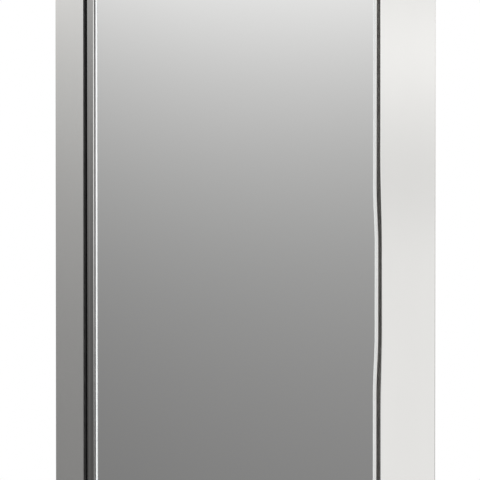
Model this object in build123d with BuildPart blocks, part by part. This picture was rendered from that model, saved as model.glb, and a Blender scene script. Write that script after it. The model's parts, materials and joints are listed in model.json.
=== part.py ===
from build123d import *
import os
from math import asin, cos, degrees, radians, sin

os.makedirs("parts", exist_ok=True)

# A wall-hung steel medicine cabinet with one mirrored door on a rolled hinge barrel.
# X runs to the right, Y into the wall and Z up. The origin is the middle of the back, on the wall.

# Overall size
width = 350.0
height = 700.0
depth = 125.0
case_depth = 111.0

# Sheet steel, bent with these outside radii
case_sheet = 1.2
door_sheet = 1.0
bend_radius = 2.0
joint_gap = 0.2

# Fixed hinge stile on the left, with the sealed groove and the lip behind the barrel
stile_width = 31.6
lip_reach = 13.4
pivot_notch = 7.0
notch_deep = 42.0
seal_thickness = 1.2
seal_bevel = 0.4
back_flange = 14.0

# Front flange of the right side and its finger scoop
front_flange = 20.0
scoop_depth = 2.9
scoop_flat = 38.0
scoop_end = 122.0

# Flanges of the top and bottom panels
rail_flange = 14.0
rear_rail_flange = 12.0

# Mirror glass, with a swell on its free edge that guides the finger
mirror_thickness = 4.0
mirror_height = 686.0
mirror_left = -128.65
mirror_arris = 0.5
swell = 1.8
swell_flat = 41.0
swell_end = 98.0

# Layers behind the glass
bond_thickness = 0.6
bond_width = 16.0
bond_margin = 32.0
bond_pitch = 85.0
bond_count = 4
channel_sheet = 0.6
channel_lip = 2.4
channel_leg = 9.0
hem_width = 10.0
hem_thickness = 1.2
sheet_inset = 0.5

# Shallow tray that stiffens the door, set back from the free edge for the fingers
tray_left = -126.5
tray_right = 163.0
tray_height = 676.0
tray_back = -112.0
tray_corner = 6.0
tray_bevel = 1.5
core_gap = 0.3

# Hinge barrel, rolled from the door's face sheet
axis_x = -134.6
barrel_radius = 4.4
barrel_height = 688.0
curl_slit = 0.7

# Pivots
pin_radius = 2.5
pin_head_radius = 4.0
pin_reach = 15.0
running_gap = 0.05
bush_gap = 0.02
bush_flange_radius = 6.6
bush_flange = 2.0
bush_length = 16.0
upper_play = 0.5
lower_play = 0.1
bracket_thickness = 2.5
bracket_nose = 7.0
bracket_back = -98.0
bracket_screw_places = [(-164.0, -112.0), (-156.0, -103.0)]
opening_angle = 120.0
stop_radius = 1.0
stop_circle = 5.2
stop_bearing = 170.0
stop_gap = 0.3

# Slotted shelf standards, clips and shelves
standard_width = 14.0
standard_height = 4.0
standard_sheet = 0.8
standard_bend = 1.0
standard_length = 640.0
slot_pitch = 35.0
slot_count = 17
slot_width = 8.0
slot_height = 3.2
standard_rows = {"front": -88.0, "rear": -24.0}
clip_sheet = 1.2
clip_width = 7.0
clip_reach = 14.0
clip_hook = 4.0
gusset_width = 2.0
gusset_reach = 9.0
gusset_drop = 8.0
shelf_levels = {"lower": -175.0, "middle": 0.0, "upper": 175.0}
shelf_thickness = 5.0
shelf_front = -104.0
shelf_back = -6.0
shelf_side_gap = 1.0
shelf_corner = 4.0
shelf_edge = 0.8

# Magnetic catches under the top rail and over the bottom rail
catch_x = 118.0
catch_width = 46.0
catch_body = 16.0
catch_deep = 18.0
catch_foot = 2.5
catch_foot_deep = 30.0
catch_wall = 2.0
catch_set_back = 1.0
catch_screw_pitch = 30.0
catch_screw_inset = 5.0
magnet_edge = 0.4
pole_sheet = 1.2
pole_stand_out = 0.6
strike_width = 62.0
strike_tall = 15.0
strike_sheet = 0.8
strike_corner = 2.0
strike_rivet_pitch = 53.0

# Fasteners, with few sides because they repeat
fastener_sides = 8
hexagon = 6
screw_radius = 2.0
screw_head_radius = 4.0
screw_head = 2.2
rivet_radius = 1.6
rivet_head_radius = 3.2
rivet_head = 1.2
rivet_taper = 50.0
rivet_rows = (-310.0, 0.0, 310.0)
fastener_gap = 0.05
wall_hole_radius = 3.25
wall_hole_x = 240.0
wall_hole_z = 580.0

# Bumpers on the back of the door
bumper_radius = 3.0
bumper_height = 0.6
bumper_taper = 30.0
bumper_x = 159.0
bumper_rows = (-320.0, -150.0, 150.0, 320.0)

# Places worked out from the sizes above
half_width = width / 2
half_height = height / 2
case_front = -case_depth
mirror_front = -depth
mirror_back = mirror_front + mirror_thickness
sheet_front = mirror_back + bond_thickness
sheet_back = sheet_front + door_sheet
wall_inside = half_width - case_sheet
back_inside = -case_sheet
stile_edge = -half_width + stile_width
lip_end = stile_edge + lip_reach
axis_y = sheet_back - barrel_radius
barrel_bore = barrel_radius - door_sheet
barrel_end = barrel_height / 2
bracket_top = half_height - case_sheet
bracket_bottom = bracket_top - bracket_thickness
bush_radius = barrel_bore - bush_gap
web_face = wall_inside - standard_height
shelf_half_width = web_face - shelf_side_gap
rail_bottom = half_height - rail_flange
flange_rivet_x = half_width - back_flange / 2
rail_rivet_z = half_height - rear_rail_flange / 2
catch_screw_y = case_front + catch_foot_deep - catch_screw_inset
catch_screw_places = [(catch_x + side * catch_screw_pitch / 2, catch_screw_y) for side in (-1, 1)]
strike_rivet_x = [catch_x + side * strike_rivet_pitch / 2 for side in (-1, 1)]


def bumped_edge(straight, raised, flat, end, half_length):
    """A line up a panel's edge that bulges smoothly from straight to raised about its middle."""
    ramp = (flat + end) / 2
    Line((straight, -half_length), (straight, -end))
    Bezier((straight, -end), (straight, -ramp), (raised, -ramp), (raised, -flat))
    Line((raised, -flat), (raised, flat))
    Bezier((raised, flat), (raised, ramp), (straight, ramp), (straight, end))
    Line((straight, end), (straight, half_length))


def mirror_outline(left, right, half_length):
    """The door's front outline, straight on the hinge side and swelled on the free side."""
    bumped_edge(right, right + swell, swell_flat, swell_end, half_length)
    Polyline((right, half_length), (left, half_length), (left, -half_length), (right, -half_length))


def shank(radius, mode=Mode.ADD):
    """Section of a fastener, or of the hole that it fills."""
    RegularPolygon(radius, fastener_sides, mode=mode)


# Left side, stile and lip, folded from one sheet
with BuildPart() as left_side:
    with BuildSketch(Plane.XY.offset(-half_height)):
        with BuildLine():
            FilletPolyline(
                (-half_width + back_flange, back_inside),
                (-half_width, back_inside),
                (-half_width, mirror_front),
                (stile_edge, mirror_front),
                (stile_edge, case_front),
                (lip_end, case_front),
                radius=bend_radius,
            )
            offset(amount=case_sheet, side=Side.LEFT)
        make_face()
    extrude(amount=height)
    # Notches at both ends of the return and the lip let the pivot brackets through
    with BuildSketch(Plane.XZ.offset(depth - bend_radius)):
        with GridLocations(0, height - pivot_notch, 1, 2):
            with Locations((stile_edge + lip_reach / 2, 0)):
                Rectangle(lip_reach + 2 * bend_radius, pivot_notch)
    extrude(amount=-notch_deep, mode=Mode.SUBTRACT)
    with BuildSketch(Plane.XZ.offset(case_sheet)):
        with Locations(*[(-flange_rivet_x, z) for z in rivet_rows]):
            shank(rivet_radius + fastener_gap)
    extrude(amount=2 * case_sheet, mode=Mode.SUBTRACT)
left_side.part.label = "left_side"
export_step(left_side.part, "parts/left_side.step")

# Black rubber strip on the return, which keeps damp out of the groove beside the barrel
seal_front = mirror_front + bend_radius
seal_back = case_front - bend_radius - joint_gap
seal_end = half_height - pivot_notch - joint_gap
with BuildPart() as groove_seal:
    with BuildSketch(Plane.XY.offset(-seal_end)):
        with Locations((stile_edge, seal_front)):
            Rectangle(seal_thickness, seal_back - seal_front, align=(Align.MIN, Align.MIN))
    extrude(amount=2 * seal_end)
    chamfer(groove_seal.edges().filter_by(Axis.Z).group_by(Axis.X)[-1], seal_bevel)
groove_seal.part.label = "groove_seal"
export_step(groove_seal.part, "parts/groove_seal.step")

# Right side, with the front flange scooped back behind the finger pull
with BuildPart() as right_side:
    with BuildSketch(Plane.YZ.offset(wall_inside)):
        with BuildLine():
            bumped_edge(case_front, case_front + scoop_depth, scoop_flat, scoop_end, half_height)
            Polyline(
                (case_front, half_height),
                (back_inside, half_height),
                (back_inside, -half_height),
                (case_front, -half_height),
            )
        make_face()
    extrude(amount=case_sheet)
    with BuildSketch(Plane.YZ.offset(half_width - front_flange)):
        with BuildLine():
            bumped_edge(case_front, case_front + scoop_depth, scoop_flat, scoop_end, half_height)
            inner = case_front + case_sheet
            bumped_edge(inner, inner + scoop_depth, scoop_flat, scoop_end, half_height)
            Line((case_front, half_height), (inner, half_height))
            Line((case_front, -half_height), (inner, -half_height))
        make_face()
    extrude(amount=front_flange)
    with BuildSketch(Plane.XY.offset(-half_height)):
        with Locations((half_width, back_inside)):
            Rectangle(back_flange, case_sheet, align=(Align.MAX, Align.MAX))
    extrude(amount=height)
    upright_edges = right_side.edges().filter_by(Axis.Z)
    fillet(upright_edges.group_by(Axis.X)[-1].group_by(Axis.Y)[-1], bend_radius / 2)
    outer_face = right_side.faces().sort_by(Axis.X)[-1]
    front_edges = outer_face.edges().filter_by(lambda edge: edge.center().Y < case_front + front_flange)
    fillet(front_edges, bend_radius / 2)
    with BuildSketch(Plane.XZ.offset(case_sheet)):
        with Locations(*[(flange_rivet_x, z) for z in rivet_rows]):
            shank(rivet_radius + fastener_gap)
    extrude(amount=2 * case_sheet, mode=Mode.SUBTRACT)
right_side.part.label = "right_side"
export_step(right_side.part, "parts/right_side.step")

# Top panel: a flat sheet with a tongue over the stile, and rails folded down at front and rear
panel_edge = wall_inside - joint_gap
rail_left = lip_end + joint_gap
rail_right = half_width - front_flange - joint_gap
panel_front = case_front + case_sheet + joint_gap
panel_rear = -2 * case_sheet - joint_gap
tongue_front = mirror_front + bend_radius + joint_gap
tongue_right = stile_edge - case_sheet - joint_gap
with BuildPart() as top_panel:
    with BuildSketch(Plane.XY.offset(half_height - case_sheet)):
        with BuildLine():
            Polyline(
                (-panel_edge, tongue_front),
                (tongue_right, tongue_front),
                (tongue_right, panel_front),
                (panel_edge, panel_front),
                (panel_edge, panel_rear),
                (-panel_edge, panel_rear),
                close=True,
            )
        make_face()
    extrude(amount=case_sheet)
    with BuildSketch(Plane.YZ.offset(rail_left)):
        with BuildLine():
            FilletPolyline(
                (case_front, rail_bottom),
                (case_front, half_height),
                (back_inside, half_height),
                (back_inside, half_height - rear_rail_flange),
                radius=bend_radius,
            )
            offset(amount=case_sheet, side=Side.RIGHT)
        make_face()
    extrude(amount=rail_right - rail_left)
    with BuildSketch(Plane.XY.offset(half_height)):
        with Locations(*bracket_screw_places):
            shank(screw_radius + fastener_gap)
        with Locations(*catch_screw_places):
            shank(screw_radius + fastener_gap)
    extrude(amount=-case_sheet, mode=Mode.SUBTRACT)
    with BuildSketch(Plane.XZ.offset(case_sheet)):
        with Locations((0, rail_rivet_z)):
            shank(rivet_radius + fastener_gap)
    extrude(amount=2 * case_sheet, mode=Mode.SUBTRACT)
top_panel.part.label = "top_panel"
export_step(top_panel.part, "parts/top_panel.step")

with BuildPart() as bottom_panel:
    mirror(top_panel.part, about=Plane.XY)
bottom_panel.part.label = "bottom_panel"
export_step(bottom_panel.part, "parts/bottom_panel.step")

# Back panel, with four round holes for the wall screws
rivet_places = [(side * flange_rivet_x, z) for side in (-1, 1) for z in rivet_rows]
rivet_places += [(0, side * rail_rivet_z) for side in (-1, 1)]
with BuildPart() as back_panel:
    with BuildSketch(Plane.XZ):
        Rectangle(width, height)
        with GridLocations(wall_hole_x, wall_hole_z, 2, 2):
            Circle(wall_hole_radius, mode=Mode.SUBTRACT)
        with Locations(*rivet_places):
            shank(rivet_radius + fastener_gap, Mode.SUBTRACT)
    extrude(amount=case_sheet)
back_panel.part.label = "back_panel"
export_step(back_panel.part, "parts/back_panel.step")

# Rivets through the back panel and the flanges, flush with the wall face
with BuildPart() as back_rivets:
    with BuildSketch(Plane.XZ):
        with Locations(*rivet_places):
            shank(rivet_radius)
    extrude(amount=2 * case_sheet)
    with BuildSketch(Plane.XZ.offset(2 * case_sheet)):
        with Locations(*rivet_places):
            shank(rivet_head_radius)
    extrude(amount=rivet_head, taper=rivet_taper)
back_rivets.part.label = "back_rivets"
export_step(back_rivets.part, "parts/back_rivets.step")

# Pivot brackets: flat plates fixed inside the stile, with a round nose out over the barrel
for name, side in (("upper", 1), ("lower", -1)):
    with BuildPart() as pivot_bracket:
        with BuildSketch(Plane.XY.offset(side * bracket_top)):
            with BuildLine():
                Polyline(
                    (-panel_edge + joint_gap, tongue_front),
                    (stile_edge + joint_gap, tongue_front),
                    (axis_x, axis_y),
                    (axis_x + bracket_nose, axis_y),
                    (axis_x, case_front),
                    (tongue_right, bracket_back),
                    (-panel_edge + joint_gap, bracket_back),
                    close=True,
                )
            make_face()
            with Locations((axis_x, axis_y)):
                Circle(bracket_nose)
                Circle(pin_radius, mode=Mode.SUBTRACT)
            with Locations(*bracket_screw_places):
                shank(screw_radius + fastener_gap, Mode.SUBTRACT)
            if side < 0:
                with Locations((axis_x, axis_y)):
                    with PolarLocations(stop_circle, 1, start_angle=stop_bearing):
                        Circle(stop_radius, mode=Mode.SUBTRACT)
        extrude(amount=-side * bracket_thickness)
    pivot_bracket.part.label = f"{name}_pivot_bracket"
    export_step(pivot_bracket.part, f"parts/{name}_pivot_bracket.step")

    # Turned pivot pin, headed over the bracket
    with BuildPart() as pivot_pin:
        with BuildSketch(Plane.XZ.offset(-axis_y)):
            with BuildLine():
                Polyline(
                    (axis_x, side * half_height),
                    (axis_x + pin_head_radius - case_sheet / 2, side * half_height),
                    (axis_x + pin_head_radius, side * bracket_top),
                    (axis_x + pin_radius, side * bracket_top),
                    (axis_x + pin_radius, side * (barrel_end - pin_reach)),
                    (axis_x, side * (barrel_end - pin_reach)),
                    close=True,
                )
            make_face()
        revolve(axis=Axis((axis_x, axis_y, 0), (0, 0, 1)))
    pivot_pin.part.label = f"{name}_pivot_pin"
    export_step(pivot_pin.part, f"parts/{name}_pivot_pin.step")

    # Flanged nylon bush pressed into the end of the barrel
    play = upper_play if side > 0 else lower_play
    flange_outer = bracket_bottom - play
    with BuildPart() as bush:
        with BuildSketch(Plane.XY.offset(side * barrel_end)):
            with Locations((axis_x, axis_y)):
                Circle(bush_flange_radius)
                Circle(pin_radius + running_gap, mode=Mode.SUBTRACT)
            if side < 0:
                # The flange is cut away over the door's swing, so that the stop pin ends its travel
                half_stop = degrees(asin((stop_radius + stop_gap) / stop_circle))
                swing = opening_angle + 2 * half_stop
                inner_radius = stop_circle - stop_radius - stop_gap
                outer_radius = bush_flange_radius + stop_radius
                first = radians(stop_bearing - half_stop)
                last = radians(stop_bearing - half_stop + swing)
                with BuildLine():
                    CenterArc((axis_x, axis_y), inner_radius, degrees(first), swing)
                    CenterArc((axis_x, axis_y), outer_radius, degrees(first), swing)
                    for bearing in (first, last):
                        Line(
                            (axis_x + inner_radius * cos(bearing), axis_y + inner_radius * sin(bearing)),
                            (axis_x + outer_radius * cos(bearing), axis_y + outer_radius * sin(bearing)),
                        )
                make_face(mode=Mode.SUBTRACT)
        extrude(amount=side * (flange_outer - barrel_end))
        with BuildSketch(Plane.XY.offset(side * barrel_end)):
            with Locations((axis_x, axis_y)):
                Circle(bush_radius)
                Circle(pin_radius + running_gap, mode=Mode.SUBTRACT)
        extrude(amount=-side * bush_length)
    bush.part.label = f"{name}_bush"
    export_step(bush.part, f"parts/{name}_bush.step")

# Stop pin pressed into the lower bracket
with BuildPart() as door_stop_pin:
    with BuildSketch(Plane.XY.offset(-bracket_top)):
        with Locations((axis_x, axis_y)):
            with PolarLocations(stop_circle, 1, start_angle=stop_bearing):
                Circle(stop_radius)
    extrude(amount=bracket_thickness + bush_flange)
door_stop_pin.part.label = "door_stop_pin"
export_step(door_stop_pin.part, "parts/door_stop_pin.step")

# Hexagon-headed screws that hold the pivot brackets
with BuildPart() as bracket_screws:
    for side in (1, -1):
        with BuildSketch(Plane.XY.offset(side * half_height)):
            with Locations(*bracket_screw_places):
                shank(screw_radius)
        extrude(amount=-side * (case_sheet + bracket_thickness))
        with BuildSketch(Plane.XY.offset(side * bracket_bottom)):
            with Locations(*bracket_screw_places):
                RegularPolygon(screw_head_radius, hexagon)
        extrude(amount=-side * screw_head)
bracket_screws.part.label = "bracket_screws"
export_step(bracket_screws.part, "parts/bracket_screws.step")

# Slotted shelf standards on both sides
for side_name, side in (("left", -1), ("right", 1)):
    for row_name, row_y in standard_rows.items():
        with BuildPart() as standard:
            with BuildSketch(Plane.XY.offset(-standard_length / 2)):
                with BuildLine():
                    FilletPolyline(
                        (side * wall_inside, row_y - standard_width / 2),
                        (side * web_face, row_y - standard_width / 2),
                        (side * web_face, row_y + standard_width / 2),
                        (side * wall_inside, row_y + standard_width / 2),
                        radius=standard_bend,
                    )
                    offset(amount=standard_sheet, side=Side.LEFT if side < 0 else Side.RIGHT)
                make_face()
            extrude(amount=standard_length)
            with BuildSketch(Plane.YZ.offset(side * web_face)):
                with Locations((row_y, slot_height / 2)):
                    with GridLocations(0, slot_pitch, 1, slot_count):
                        Rectangle(slot_width, slot_height)
            extrude(amount=side * standard_height / 2, mode=Mode.SUBTRACT)
        standard.part.label = f"{side_name}_{row_name}_standard"
        export_step(standard.part, f"parts/{side_name}_{row_name}_standard.step")

# Shelves and the clips that they lie on
for level_name, level in shelf_levels.items():
    with BuildPart() as shelf_clips:
        for side in (-1, 1):
            for row_y in standard_rows.values():
                hook = (side * web_face, row_y, level)
                section = Plane(origin=hook, x_dir=(-side, 0, 0), z_dir=(0, side, 0))
                with BuildSketch(section):
                    with BuildLine():
                        Polyline(
                            (-standard_sheet - joint_gap - clip_sheet, 0),
                            (clip_reach, 0),
                            (clip_reach, clip_sheet),
                            (-standard_sheet - joint_gap, clip_sheet),
                            (-standard_sheet - joint_gap, clip_hook),
                            (-standard_sheet - joint_gap - clip_sheet, clip_hook),
                            close=True,
                        )
                    make_face()
                extrude(amount=clip_width / 2, both=True)
                with BuildSketch(section):
                    with BuildLine():
                        Polyline((0, 0), (gusset_reach, 0), (0, -gusset_drop), close=True)
                    make_face()
                extrude(amount=gusset_width / 2, both=True)
    shelf_clips.part.label = f"{level_name}_shelf_clips"
    export_step(shelf_clips.part, f"parts/{level_name}_shelf_clips.step")

    with BuildPart() as shelf:
        with BuildSketch(Plane.XY.offset(level + clip_sheet)):
            with Locations((0, (shelf_front + shelf_back) / 2)):
                RectangleRounded(2 * shelf_half_width, shelf_back - shelf_front, shelf_corner)
        extrude(amount=shelf_thickness)
        rims = shelf.edges().group_by(Axis.Z)
        chamfer(rims[0] + rims[-1], shelf_edge)
    shelf.part.label = f"{level_name}_shelf"
    export_step(shelf.part, f"parts/{level_name}_shelf.step")

# Magnetic catches, one behind each rail, with their strikes on the door
catch_front = case_front + catch_set_back
foot_back = case_front + catch_foot_deep
body_back = catch_front + catch_deep
foot_top = half_height - case_sheet
body_top = rail_bottom - joint_gap
body_bottom = body_top - catch_body
body_middle = (body_top + body_bottom) / 2
foot_front = case_front + bend_radius + joint_gap
for name, side in (("upper", 1), ("lower", -1)):
    with BuildPart() as catch_housing:
        with BuildSketch(Plane.YZ.offset(catch_x)):
            with BuildLine():
                Polyline(
                    (catch_front, side * body_bottom),
                    (catch_front, side * body_top),
                    (foot_front, side * body_top),
                    (foot_front, side * foot_top),
                    (foot_back, side * foot_top),
                    (foot_back, side * (foot_top - catch_foot)),
                    (body_back, side * (foot_top - catch_foot)),
                    (body_back, side * body_bottom),
                    close=True,
                )
            make_face()
        extrude(amount=catch_width / 2, both=True)
        inner_edges = catch_housing.edges().filter_by(Axis.X).group_by(Axis((0, 0, 0), (0, 0, side)))[0]
        fillet(inner_edges, catch_wall / 2)
        # Open mouth that holds the magnet between its two pole plates
        with BuildSketch(Plane.XZ.offset(-catch_front)):
            with Locations((catch_x, side * body_middle)):
                Rectangle(catch_width - 2 * catch_wall, catch_body - 2 * catch_wall)
        extrude(amount=-(catch_deep - 2 * catch_wall), mode=Mode.SUBTRACT)
        with BuildSketch(Plane.XY.offset(side * foot_top)):
            with Locations(*catch_screw_places):
                shank(screw_radius + fastener_gap)
        extrude(amount=-side * catch_foot, mode=Mode.SUBTRACT)
    catch_housing.part.label = f"{name}_catch_housing"
    export_step(catch_housing.part, f"parts/{name}_catch_housing.step")

    pole_tall = (catch_body - 2 * catch_wall) / 2 - pole_sheet
    with BuildPart() as catch_magnet:
        with BuildSketch(Plane.XZ.offset(-catch_front)):
            with Locations((catch_x, side * body_middle)):
                Rectangle(catch_width - 2 * catch_wall - joint_gap, 2 * pole_tall - joint_gap)
        extrude(amount=-(catch_deep - 2 * catch_wall))
        chamfer(catch_magnet.edges().filter_by(Axis.X), magnet_edge)
    catch_magnet.part.label = f"{name}_catch_magnet"
    export_step(catch_magnet.part, f"parts/{name}_catch_magnet.step")

    with BuildPart() as pole_plates:
        with BuildSketch(Plane.XZ.offset(-catch_front + pole_stand_out)):
            for offset_z in (-pole_tall - pole_sheet / 2, pole_tall + pole_sheet / 2):
                with Locations((catch_x, side * body_middle + offset_z)):
                    Rectangle(catch_width - 2 * catch_wall - joint_gap, pole_sheet - joint_gap)
        extrude(amount=-(catch_deep - 2 * catch_wall + pole_stand_out))
    pole_plates.part.label = f"{name}_catch_poles"
    export_step(pole_plates.part, f"parts/{name}_catch_poles.step")

    with BuildPart() as strike:
        with BuildSketch(Plane.XZ.offset(-tray_back)) as plate:
            with Locations((catch_x, side * body_middle)):
                Rectangle(strike_width, strike_tall)
            chamfer(plate.vertices(), strike_corner)
            with Locations(*[(x, side * body_middle) for x in strike_rivet_x]):
                shank(rivet_radius + fastener_gap, Mode.SUBTRACT)
        extrude(amount=-strike_sheet)
    strike.part.label = f"{name}_strike"
    export_step(strike.part, f"parts/{name}_strike.step")

# Hexagon-headed screws that hold the catches
with BuildPart() as catch_screws:
    for side in (1, -1):
        with BuildSketch(Plane.XY.offset(side * half_height)):
            with Locations(*catch_screw_places):
                shank(screw_radius)
        extrude(amount=-side * (case_sheet + catch_foot))
        with BuildSketch(Plane.XY.offset(side * (foot_top - catch_foot))):
            with Locations(*catch_screw_places):
                RegularPolygon(screw_head_radius, hexagon)
        extrude(amount=-side * screw_head)
catch_screws.part.label = "catch_screws"
export_step(catch_screws.part, "parts/catch_screws.step")

# Mirror glass with ground edges
mirror_half = mirror_height / 2
with BuildPart() as mirror_glass:
    with BuildSketch(Plane.XZ.offset(-mirror_back)):
        with BuildLine():
            mirror_outline(mirror_left, half_width, mirror_half)
        make_face()
    extrude(amount=mirror_thickness)
    rims = mirror_glass.edges().group_by(Axis.Y)
    chamfer(rims[0] + rims[-1], mirror_arris)
mirror_glass.part.label = "mirror_glass"
export_step(mirror_glass.part, "parts/mirror_glass.step")

# Trim channel round the hinge edge of the glass
channel_left = mirror_left - joint_gap / 2 - channel_sheet
with BuildPart() as mirror_edge_channel:
    with BuildSketch(Plane.XY.offset(-mirror_half)):
        with BuildLine():
            FilletPolyline(
                (channel_left + channel_leg, sheet_front),
                (channel_left, sheet_front),
                (channel_left, mirror_front - channel_sheet),
                (channel_left + channel_lip, mirror_front - channel_sheet),
                radius=channel_sheet + joint_gap / 2,
            )
            offset(amount=channel_sheet, side=Side.LEFT)
        make_face()
    extrude(amount=mirror_height)
mirror_edge_channel.part.label = "mirror_edge_channel"
export_step(mirror_edge_channel.part, "parts/mirror_edge_channel.step")

# Strips of adhesive between the glass and the face sheet
with BuildPart() as mirror_bond_strips:
    with BuildSketch(Plane.XZ.offset(-sheet_front)):
        with Locations(((channel_left + channel_leg + half_width) / 2, 0)):
            with GridLocations(bond_pitch, 0, bond_count, 1):
                Rectangle(bond_width, mirror_height - 2 * bond_margin)
    extrude(amount=bond_thickness)
mirror_bond_strips.part.label = "mirror_bond_strips"
export_step(mirror_bond_strips.part, "parts/mirror_bond_strips.step")

# Face sheet: flat behind the glass, hemmed on the free edge and rolled into the barrel
sheet_right = half_width - sheet_inset
sheet_half = mirror_half - sheet_inset
hem_half = mirror_half - 2 * hem_width
with BuildPart() as door_face_sheet:
    with BuildSketch(Plane.XZ.offset(-sheet_back)):
        with BuildLine():
            mirror_outline(axis_x, sheet_right, sheet_half)
        make_face()
    extrude(amount=door_sheet)
    with BuildSketch(Plane.XZ.offset(-sheet_back)):
        with BuildLine():
            hem_edge = sheet_right - hem_width
            bumped_edge(sheet_right, sheet_right + swell, swell_flat, swell_end, hem_half)
            bumped_edge(hem_edge, hem_edge + swell, swell_flat, swell_end, hem_half)
            Line((hem_edge, hem_half), (sheet_right, hem_half))
            Line((hem_edge, -hem_half), (sheet_right, -hem_half))
        make_face()
    extrude(amount=-hem_thickness)
    with BuildSketch(Plane.XY.offset(-barrel_end)):
        with Locations((axis_x, axis_y)):
            Circle(barrel_radius)
            Circle(barrel_bore, mode=Mode.SUBTRACT)
        with Locations((axis_x + curl_slit, sheet_front)):
            Rectangle(barrel_radius, curl_slit, align=(Align.MIN, Align.MAX), mode=Mode.SUBTRACT)
    extrude(amount=barrel_height)
door_face_sheet.part.label = "door_face_sheet"
export_step(door_face_sheet.part, "parts/door_face_sheet.step")

# Shallow tray on the back of the face sheet
tray_width = tray_right - tray_left
tray_middle = (tray_left + tray_right) / 2
tray_depth = tray_back - sheet_back
strike_places = [(x, side * body_middle) for side in (1, -1) for x in strike_rivet_x]
with BuildPart() as door_tray:
    with BuildSketch(Plane.XZ.offset(-tray_back)):
        with Locations((tray_middle, 0)):
            RectangleRounded(tray_width, tray_height, tray_corner)
    extrude(amount=tray_depth)
    chamfer(door_tray.edges().group_by(Axis.Y)[-1], tray_bevel)
    offset(amount=-door_sheet, openings=door_tray.faces().sort_by(Axis.Y)[0])
    with BuildSketch(Plane.XZ.offset(-tray_back)):
        with Locations(*strike_places):
            shank(rivet_radius + fastener_gap)
    extrude(amount=door_sheet, mode=Mode.SUBTRACT)
door_tray.part.label = "door_tray"
export_step(door_tray.part, "parts/door_tray.step")

# Foam board that fills the tray
with BuildPart() as door_core:
    with BuildSketch(Plane.XZ.offset(-tray_back + door_sheet + core_gap)) as board:
        with Locations((tray_middle, 0)):
            board_edge = 2 * (door_sheet + core_gap)
            Rectangle(tray_width - board_edge, tray_height - board_edge)
        chamfer(board.vertices(), tray_corner)
    extrude(amount=tray_depth - door_sheet - core_gap)
    chamfer(door_core.edges().group_by(Axis.Y)[-1], tray_bevel)
door_core.part.label = "door_core"
export_step(door_core.part, "parts/door_core.step")

# Rivets that hold the strikes, and the soft bumpers beside them
with BuildPart() as strike_rivets:
    with BuildSketch(Plane.XZ.offset(-tray_back + door_sheet)):
        with Locations(*strike_places):
            shank(rivet_radius)
    extrude(amount=-(door_sheet + strike_sheet))
    with BuildSketch(Plane.XZ.offset(-tray_back - strike_sheet)):
        with Locations(*strike_places):
            shank(rivet_head_radius)
    extrude(amount=-rivet_head, taper=rivet_taper)
strike_rivets.part.label = "strike_rivets"
export_step(strike_rivets.part, "parts/strike_rivets.step")

with BuildPart() as door_bumpers:
    with BuildSketch(Plane.XZ.offset(-tray_back)):
        with Locations(*[(bumper_x, z) for z in bumper_rows]):
            shank(bumper_radius)
    extrude(amount=-bumper_height, taper=bumper_taper)
door_bumpers.part.label = "door_bumpers"
export_step(door_bumpers.part, "parts/door_bumpers.step")
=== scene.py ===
# %% [markdown]
# # A steel medicine cabinet with a mirrored door
#
# The cabinet is a folded steel case with a fixed stile on the left, and a mirrored door that turns on a
# rolled barrel beside the stile. The solids come from CAD, at their real size and place. This lesson
# gives them their finish, models the pieces that show most again with clean bends and edges, and lights
# them as in a studio. Every place is read from the frame, so a piece made here sits where its solid
# sits. Only what a box can't tell, such as the width of a fold, is written down, in millimetres.

# %% Load the frame
import json
import math

import bmesh
import bpy
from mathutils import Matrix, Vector


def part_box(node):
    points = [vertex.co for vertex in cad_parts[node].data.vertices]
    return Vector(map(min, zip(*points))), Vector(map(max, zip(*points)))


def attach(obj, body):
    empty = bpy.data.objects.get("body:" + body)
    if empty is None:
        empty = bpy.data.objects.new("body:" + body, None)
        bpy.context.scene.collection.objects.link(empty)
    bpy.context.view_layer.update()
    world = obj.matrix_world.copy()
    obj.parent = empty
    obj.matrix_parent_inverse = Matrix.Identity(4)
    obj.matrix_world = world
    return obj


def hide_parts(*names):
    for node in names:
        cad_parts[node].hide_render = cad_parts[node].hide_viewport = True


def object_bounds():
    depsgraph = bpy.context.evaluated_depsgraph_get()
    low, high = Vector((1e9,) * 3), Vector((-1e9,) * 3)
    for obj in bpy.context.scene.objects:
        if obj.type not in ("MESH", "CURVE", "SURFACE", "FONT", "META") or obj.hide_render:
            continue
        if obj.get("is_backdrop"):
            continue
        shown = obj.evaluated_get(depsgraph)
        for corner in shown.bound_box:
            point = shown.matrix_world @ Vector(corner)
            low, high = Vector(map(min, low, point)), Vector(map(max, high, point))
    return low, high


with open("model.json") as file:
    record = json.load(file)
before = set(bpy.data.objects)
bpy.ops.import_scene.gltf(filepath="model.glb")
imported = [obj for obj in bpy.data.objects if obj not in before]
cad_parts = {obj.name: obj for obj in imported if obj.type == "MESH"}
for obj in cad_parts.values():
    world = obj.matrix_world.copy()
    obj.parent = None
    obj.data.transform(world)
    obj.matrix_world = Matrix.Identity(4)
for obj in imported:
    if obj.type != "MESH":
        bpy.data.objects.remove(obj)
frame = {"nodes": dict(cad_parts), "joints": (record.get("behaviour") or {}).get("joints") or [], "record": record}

MM = 0.001
NEAR = 0.01 * MM
cad_low, cad_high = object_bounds()
nodes = frame["nodes"]
print("frame holds", len(nodes), "nodes; size in mm:", [round(side / MM, 1) for side in cad_high - cad_low])

# %% [markdown]
# ## Hands for the work
#
# Operators act on what is selected, so each helper first selects what it needs. `pick` opens a piece in
# edit mode with only the chosen vertices, edges or faces selected: the choice is a small test on place
# or direction, the way a modeller would point at them. Two places are the same when they are `NEAR`.

# %% Selecting
def only(piece):
    """Makes piece the one selected and active object."""
    bpy.ops.object.select_all(action="DESELECT")
    piece.select_set(True)
    bpy.context.view_layer.objects.active = piece


def middle(part):
    """Middle of an edge or a face in edit mode."""
    return sum((corner.co for corner in part.verts), Vector()) / len(part.verts)


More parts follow.
